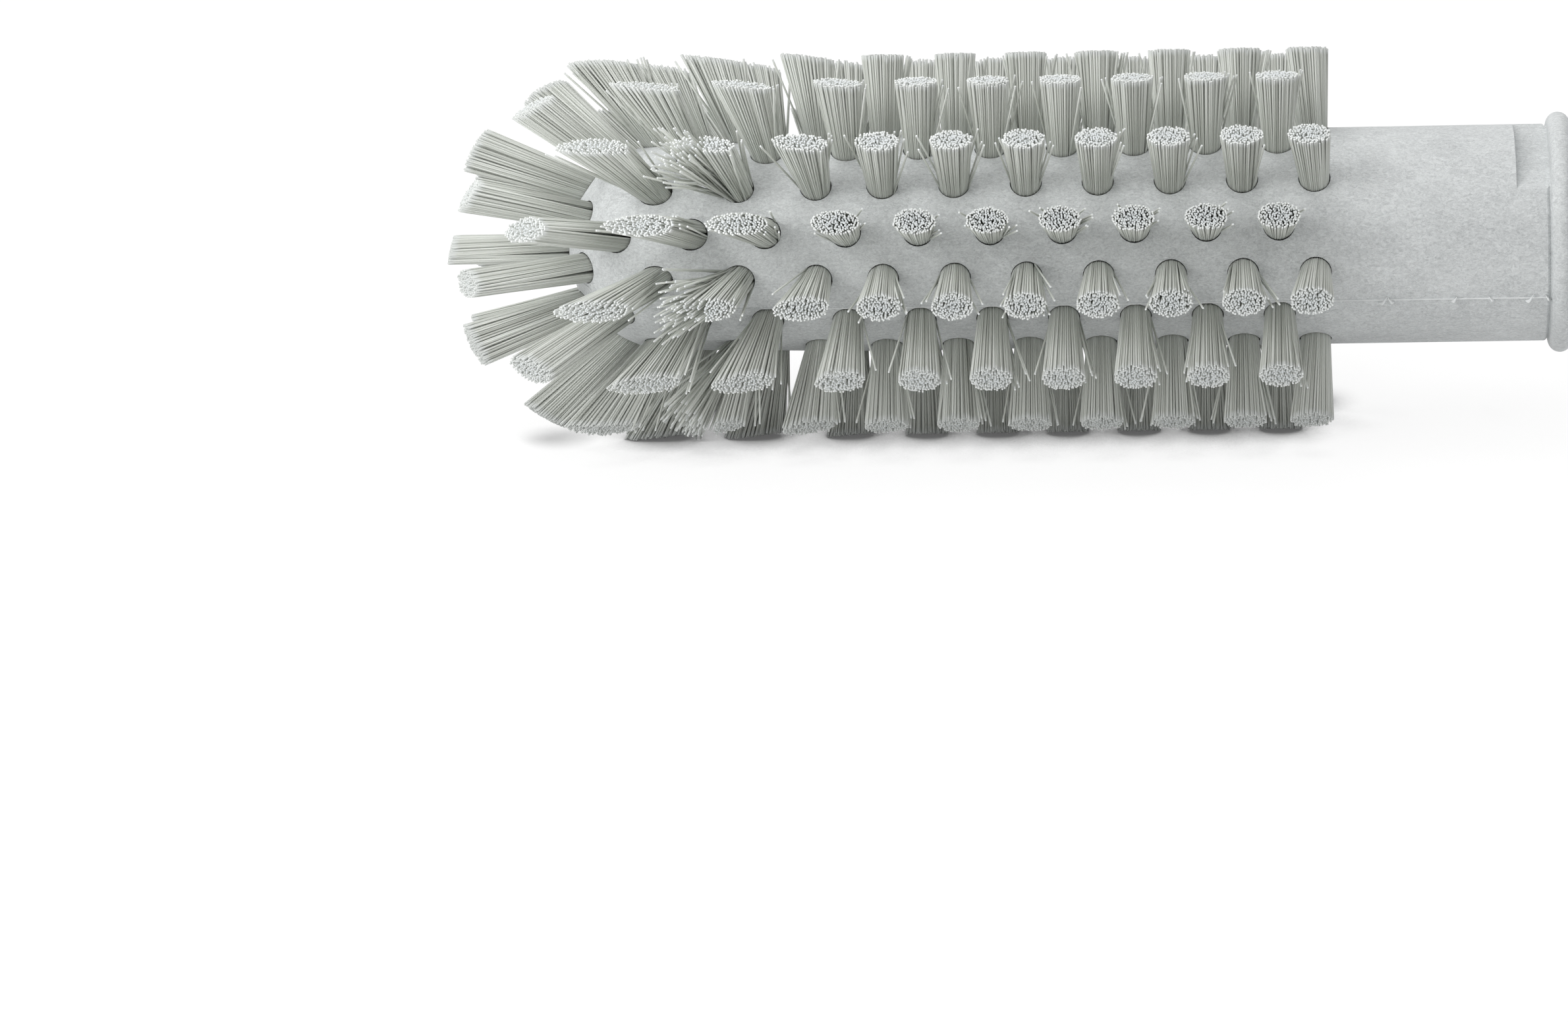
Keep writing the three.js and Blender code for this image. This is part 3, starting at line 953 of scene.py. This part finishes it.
def filament_tree(material, sizes):
    """Fills each tuft with straight filaments that fan out from its hole and end at the trimmed shape."""
    tree, given = new_tree("Filament tufts", sizes)

    def chance(number, low=0.0, high=1.0):
        return random_number(tree, low, high, given["Seed"] + number)

    def lean_chance(number):
        return chance(number, given["Least Lean Share"])

    def either_way(number, size):
        return chance(number, -size, size)

    points = add_node(tree, "GeometryNodeMeshToPoints", {"Mesh": given["Geometry"]})
    copies = add_node(
        tree,
        "GeometryNodeDuplicateElements",
        {"Geometry": points.outputs[0], "Amount": given["Filaments"]},
        domain="POINT",
    )
    mouth = Arrow(tree, add_node(tree, "GeometryNodeInputPosition").outputs[0])
    out = kept(tree, "out", "FLOAT_VECTOR")
    along = kept(tree, "along", "FLOAT_VECTOR")
    across = out.cross(along)

    # Each filament's place in the round of its tuft. A circle holds as many as its length has room for.
    golden_angle = math.pi * (3 - math.sqrt(5))
    number = Number(tree, copies.outputs["Duplicate Index"]) + 0.5
    circle = (number / math.pi).root().rounded()
    first = (circle - 0.5) * (circle - 0.5) * math.pi
    turn = (number - first) / circle.at_least(1.0) + circle * golden_angle
    reach = circle / given["Circles"]
    side_along = reach * turn.cosine() + either_way(1, given["Mouth Wander"])
    side_across = reach * turn.sine() + either_way(2, given["Mouth Wander"])

    # Its line runs from beside the anchor, through the hole's rim where the block's surface cuts it,
    # to its tip.
    rim_along = side_along * given["Mouth Radius"]
    rim_across = side_across * given["Mouth Radius"]
    rise = rim_along * kept(tree, "tilt")
    rim = mouth + along * rim_along + across * rim_across + out * rise
    aim_along = (side_along + either_way(3, given["Tip Wander"])) * kept(tree, "fan")
    aim_across = (side_across + either_way(4, given["Tip Wander"])) * kept(tree, "width")
    aim = mouth + out * given["Tip Travel"] + along * aim_along + across * aim_across
    back = (given["Root Depth"] + rise) / (given["Tip Travel"] - rise)
    parted = side_across.sign() * given["Anchor Gap"] * (1.0 - abs(side_across))
    root = rim - (aim - rim) * back + across * parted
    straight = (aim - root).unit()

    # The trimmed shape: a round bar that ends in a rounded nose.
    start = root - given["Trim Centre"]
    bar_travel = trim_travel(start, straight, square_to_axis, given["Trim Radius"])
    nose_travel = trim_travel(start, straight, given["Trim Squash"], given["Trim Radius"])
    past_nose = (start + straight * bar_travel).part("X") < 0.0
    choice = add_node(tree, "GeometryNodeSwitch", {"Switch": past_nose}, input_type="FLOAT")
    put(tree, choice.inputs["False"], bar_travel)
    put(tree, choice.inputs["True"], nose_travel)
    sloped = side_along * kept(tree, "slope") + side_across * given["Cut Slant"]
    shortened = chance(9) * chance(10) * given["Uneven Ends"]
    trimmed = Number(tree, choice.outputs[0]) + sloped - shortened

    # Strays at a tuft's two ends, and the noseward filaments of a splayed tuft, bend away inside the hole.
    rearward = side_along < -given["Stray Side"]
    forward = side_along > given["Stray Side"]
    stray_share = (rearward + forward * given["Noseward Strays"]) * given["Stray Share"]
    strays = chance(5) < kept(tree, "loose") * stray_share
    stray_lean = strays * lean_chance(6) * given["Stray Lean"]
    noseward = side_along > given["Splay Side"]
    splays = chance(7) < noseward * kept(tree, "splay") * given["Splay Share"]
    splay_lean = splays * lean_chance(8) * lean_chance(12) * given["Splay Lean"]
    bent_along = stray_lean * side_along.sign() + splay_lean
    stray_across = stray_lean * side_across * given["Stray Scatter"]
    bent_across = stray_across + splay_lean * either_way(13, given["Splay Scatter"])
    way = (straight + along * bent_along + across * bent_across).unit()
    skipped = strays.at_least(splays) * (given["Root Depth"] + rise - given["Bend Depth"])
    foot = root + straight * skipped

    # No filament reaches below the floor that the brush lies on. One that rises counts as nearly level.
    least_fall = 0.0001
    fall = (-way.part("Z")).at_least(least_fall)
    floor_travel = (foot.part("Z") - given["Filament Radius"]) / fall
    length = (trimmed - skipped).at_most(floor_travel)

    shaded = keep(tree, copies.outputs["Geometry"], "shade", chance(11))
    # How far out in its tuft a filament stands, which sets the painted light on its cut end.
    rimmed = keep(tree, shaded, "rim", reach)
    pointed = keep(tree, rimmed, "way", way)
    measured = keep(tree, pointed, "length", length)
    moved = add_node(tree, "GeometryNodeSetPosition", {"Geometry": measured, "Position": foot})
    size = add_node(tree, "ShaderNodeCombineXYZ", {
        "X": given["Filament Radius"],
        "Y": given["Filament Radius"],
        "Z": kept(tree, "length"),
    })
    filaments = add_node(tree, "GeometryNodeInstanceOnPoints", {
        "Points": moved.outputs[0],
        "Instance": unit_filament(tree, given["Sides"]),
        "Rotation": aimed(tree, kept(tree, "way", "FLOAT_VECTOR"), axis="Z"),
        "Scale": size.outputs[0],
    })
    end_tree(tree, filaments.outputs[0], material)
    return tree


# The anchors.
def anchor_plate():
    """One flat wire with its corners rounded."""
    maker = bmesh.new()
    bmesh.ops.create_cube(maker, size=1)
    scale = Matrix.Diagonal((anchor_length, anchor_thickness, anchor_height, 1))
    bmesh.ops.transform(maker, matrix=scale, verts=maker.verts)
    bmesh.ops.bevel(maker, geom=maker.edges, offset=anchor_edge, segments=1, affect="EDGES")
    return finished_mesh(maker, "anchor_plate")


def anchor_tree(material, sizes):
    """Stands one plate at the bottom of each hole."""
    tree, given = new_tree("Tuft anchors", sizes)
    out = kept(tree, "out", "FLOAT_VECTOR")
    points = add_node(tree, "GeometryNodeMeshToPoints", {"Mesh": given["Geometry"]})
    moved = add_node(tree, "GeometryNodeSetPosition", {
        "Geometry": points.outputs[0],
        "Offset": out * -given["Depth"],
    })
    upright = aimed(tree, out, axis="Z")
    lengthwise = aimed(tree, kept(tree, "along", "FLOAT_VECTOR"), start=upright, axis="X", pivot_axis="Z")
    plate = add_node(tree, "GeometryNodeObjectInfo", {"Object": given["Plate"], "As Instance": True})
    plates = add_node(tree, "GeometryNodeInstanceOnPoints", {
        "Points": moved.outputs[0],
        "Instance": plate.outputs["Geometry"],
        "Rotation": lengthwise,
    })
    end_tree(tree, plates.outputs[0], material)
    return tree


def helper_object(mesh):
    """An object that a tree reads while it runs."""
    helper = bpy.data.objects.new(mesh.name, mesh)
    bpy.context.scene.collection.objects.link(helper)
    return helper


# Make the pieces.
tone_drift = tone_group()
block_material = block_finish()
bristle_material = bristle_finish()
anchor_material = anchor_finish()
slices = [slice_tufts(i) for i in range(len(slice_names))]
all_tufts = [tuft for tufts in slices for tuft in tufts]

tuft_helper = helper_object(tuft_points("all_tufts", all_tufts))
flash_helper = helper_object(flash_mesh())
socket_helper = helper_object(socket_plug())
flat_helper = helper_object(index_flat_block())
plate_helper = helper_object(anchor_plate())

block_sizes = {
    "Tufts": tuft_helper,
    "Flash": flash_helper,
    "Socket": socket_helper,
    "Index Flat": flat_helper,
    "Hole Radius": hole_radius,
    "Hole Depth": hole_depth,
    "Hole Sides": hole_sides,
}
block = run_tree("block", block_body(), drilling_tree(block_material, block_sizes), block_sizes)
block.data.shade_smooth()
block.data.set_sharp_from_angle(angle=block_sharp_angle)
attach(block, "root")
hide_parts("brush_block")

filament_sizes = {
    "Filaments": filaments_per_tuft,
    "Circles": filament_circles,
    "Sides": filament_sides,
    "Filament Radius": filament_radius,
    "Root Depth": filament_root_depth,
    "Bend Depth": bend_depth,
    "Mouth Radius": tuft_mouth_radius,
    "Tip Travel": tuft_tip_travel,
    "Anchor Gap": anchor_thickness / 2 + filament_radius,
    "Mouth Wander": mouth_wander,
    "Tip Wander": tip_wander,
    "Least Lean Share": least_lean_share,
    "Stray Side": stray_side,
    "Stray Share": stray_share,
    "Noseward Strays": noseward_strays,
    "Stray Lean": stray_lean,
    "Stray Scatter": stray_scatter,
    "Splay Side": splay_side,
    "Splay Share": splay_share,
    "Splay Lean": splay_lean,
    "Splay Scatter": splay_scatter,
    "Trim Radius": trim_radius,
    "Trim Centre": place_at(trim_nose_centre, trim_drop, -math.pi / 2),
    "Trim Squash": (trim_radius / trim_nose_reach, 1.0, 1.0),
    "Cut Slant": cut_slant,
    "Uneven Ends": uneven_ends,
    "Seed": 0,
}
tuft_maker = filament_tree(bristle_material, filament_sizes)
for i, (slice_name, tufts) in enumerate(zip(slice_names, slices)):
    points = tuft_points("points_" + slice_name, tufts)
    filament_sizes["Seed"] = i * seed_step
    bristles = run_tree("tufts_" + slice_name, points, tuft_maker, filament_sizes)
    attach(bristles, "root")
    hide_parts("bristles_" + slice_name)

anchor_sizes = {
    "Plate": plate_helper,
    "Depth": hole_depth - anchor_clearance - anchor_height / 2,
}
anchor_maker = anchor_tree(anchor_material, anchor_sizes)
anchors = run_tree("tuft_anchors", tuft_points("anchor_points", all_tufts), anchor_maker, anchor_sizes)
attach(anchors, "root")
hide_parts(*[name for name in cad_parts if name.startswith("anchor_")])

for helper in (tuft_helper, flash_helper, socket_helper, flat_helper, plate_helper):
    bpy.data.objects.remove(helper)


# Floor, light and camera.
def seen_directly(tree):
    """1 for what the camera sees, straight on or by a reflection, and 0 for light that bounces about."""
    path = add_node(tree, "ShaderNodeLightPath")
    seen = Number(tree, path.outputs["Is Camera Ray"])
    return seen.at_least(path.outputs["Is Glossy Ray"]).at_least(path.outputs["Is Transmission Ray"])


def floor_finish():
    """White ground: most of its brightness to the camera is its own, dimmed by a painted shadow where the
    brush touches it and under it.
    """
    material, tree, shader = new_material("white ground")
    tree.nodes.remove(shader)
    seen = seen_directly(tree)
    paint = mix_colours(tree, seen, grey(floor_paint), grey(floor_seen_paint))
    ground = add_node(tree, "ShaderNodeBsdfDiffuse", {"Color": paint})

    def openness(reach, closed, opened):
        nearness = add_node(tree, "ShaderNodeAmbientOcclusion", {"Distance": reach}, samples=shadow_samples)
        return Number(tree, nearness.outputs["AO"]).spread_between(closed, opened)

    # Painted shadow: the glow dims where the brush touches the floor and under the whole brush.
    beside = openness(contact_reach, contact_closed, contact_open)
    below = openness(under_reach, under_closed, under_open)
    brightness = beside * below * (floor_glow - shadow_brightness) + shadow_brightness
    glow = add_node(tree, "ShaderNodeEmission", {"Strength": seen * brightness})
    both = add_node(tree, "ShaderNodeAddShader")
    tree.links.new(ground.outputs[0], both.inputs[0])
    tree.links.new(glow.outputs[0], both.inputs[1])
    tree.links.new(both.outputs[0], tree.nodes["Material Output"].inputs["Surface"])
    return material


def add_floor():
    """A level square under the brush, which runs out of the picture on all sides."""
    half = floor_half_width
    mesh = bpy.data.meshes.new("floor")
    corners = [(-half, -half, 0), (half, -half, 0), (half, half, 0), (-half, half, 0)]
    mesh.from_pydata(corners, [], [(0, 1, 2, 3)])
    mesh.materials.append(floor_finish())
    floor = bpy.data.objects.new("floor", mesh)
    bpy.context.scene.collection.objects.link(floor)


def add_soft_lamp(name, place, size, power):
    """A square soft light that faces the middle of the brush and stays out of the picture."""
    data = bpy.data.lights.new(name, "AREA")
    data.shape = "SQUARE"
    data.size = size
    data.energy = power
    lamp = bpy.data.objects.new(name, data)
    bpy.context.scene.collection.objects.link(lamp)
    lamp.location = place
    aim = Vector((0, 0, axis_height)) - Vector(place)
    lamp.rotation_euler = aim.to_track_quat("-Z", "Y").to_euler()
    lamp.visible_camera = False


def add_world():
    """Even light from all round, which looks white where the camera sees it."""
    world = bpy.data.worlds.new("studio")
    bpy.context.scene.world = world
    world.use_nodes = True
    tree = world.node_tree
    background = tree.nodes["Background"]
    put(tree, background.inputs["Color"], grey(1.0))
    put(tree, background.inputs["Strength"], seen_directly(tree) * (1.0 - even_light) + even_light)


def add_camera():
    """The camera that the picture is taken with."""
    data = bpy.data.cameras.new("camera")
    data.sensor_width = sensor_width
    data.lens = camera_lens
    data.clip_start = camera_clip_start
    camera = bpy.data.objects.new("camera", data)
    bpy.context.scene.collection.objects.link(camera)
    flat = math.cos(camera_elevation)
    forward = Vector((
        flat * math.sin(camera_azimuth),
        flat * math.cos(camera_azimuth),
        -math.sin(camera_elevation),
    ))
    level = Vector((math.cos(camera_azimuth), -math.sin(camera_azimuth), 0))
    upright = level.cross(forward)
    right = level * math.cos(camera_roll) + upright * math.sin(camera_roll)
    up = right.cross(forward)
    turn = Matrix((right, up, -forward)).transposed()
    camera.matrix_world = Matrix.Translation(camera_place) @ turn.to_4x4()
    bpy.context.scene.camera = camera


add_floor()
add_world()
add_soft_lamp("key", key_place, key_size, key_power)
add_soft_lamp("nose lamp", nose_lamp_place, nose_lamp_size, nose_lamp_power)
add_camera()
bpy.context.scene.view_settings.view_transform = "Standard"
